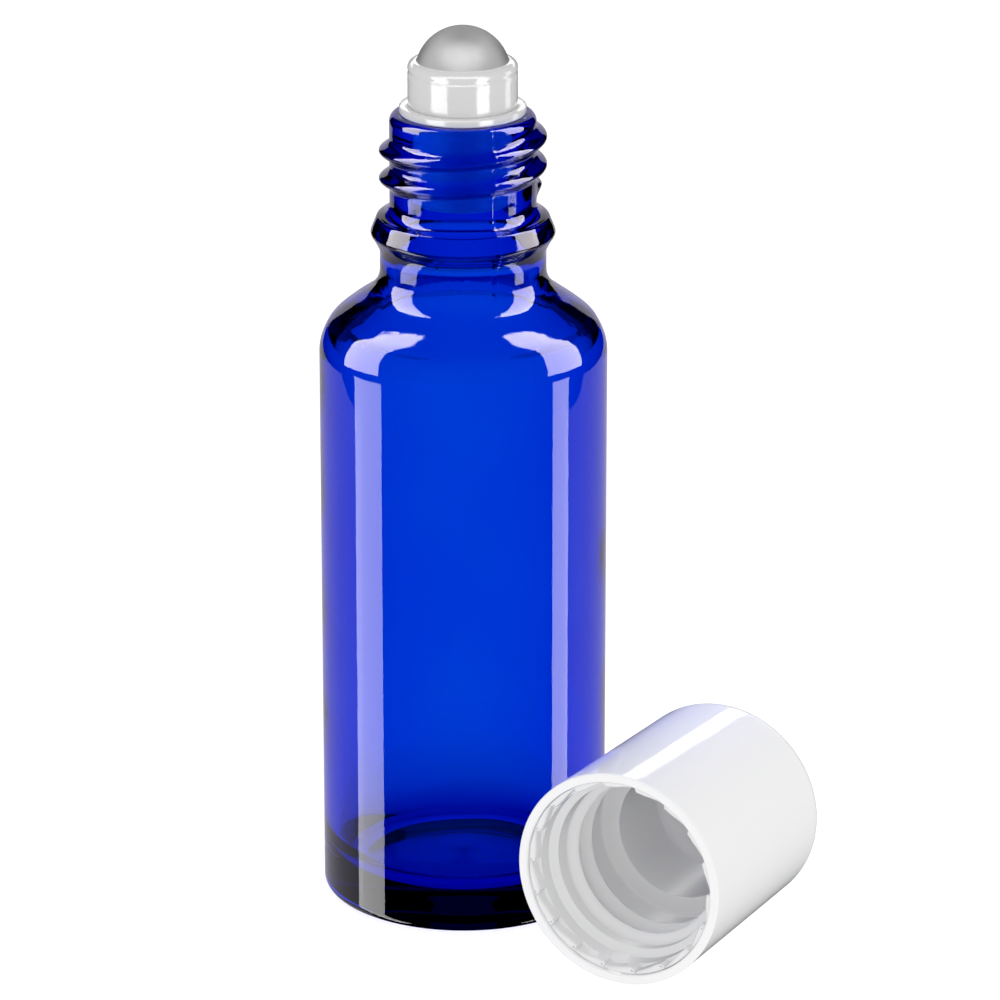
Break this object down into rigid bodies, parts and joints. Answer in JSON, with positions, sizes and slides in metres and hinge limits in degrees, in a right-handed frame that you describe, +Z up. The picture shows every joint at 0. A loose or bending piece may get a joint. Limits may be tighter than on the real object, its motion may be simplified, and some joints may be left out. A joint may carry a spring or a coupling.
{
  "type": "roll on bottle",
  "caption": "Slim round glass bottle with a steel roller ball in a plastic housing; its threaded cap is off and lies beside it.",
  "frame": {"origin": "middle of the bottle's foot, on the surface that the bottle and its cap rest on", "axes": "+Z up along the bottle's axis; the cap lies on its side along Y, at +X of the bottle, with its mouth towards -Y"},
  "size_m": [0.054, 0.0324, 0.0956],
  "materials": {
    "cobalt_glass": "clear polished glass, cobalt blue",
    "housing_plastic": "smooth, slightly translucent natural white",
    "ball_steel": "satin",
    "cap_gloss": "high gloss white",
    "insert_plastic": "semi-gloss white"
  },
  "bodies": {
    "bottle": {"glass_bottle": "cobalt_glass", "ball_housing": "housing_plastic"},
    "ball": {"roller_ball": "ball_steel"},
    "cap": {"cap_shell": "cap_gloss", "cap_insert": "insert_plastic"}
  },
  "joints": [
    {"name": "ball_spin", "type": "hinge", "parent": "bottle", "child": "ball", "pos_m": [0, 0, 0.09061], "axis": [1, 0, 0], "continuous": true},
    {"name": "cap_lift", "type": "slide", "parent": "bottle", "child": "cap", "axis": [0, 0, 1], "range_m": [0, 0.1]}
  ]
}
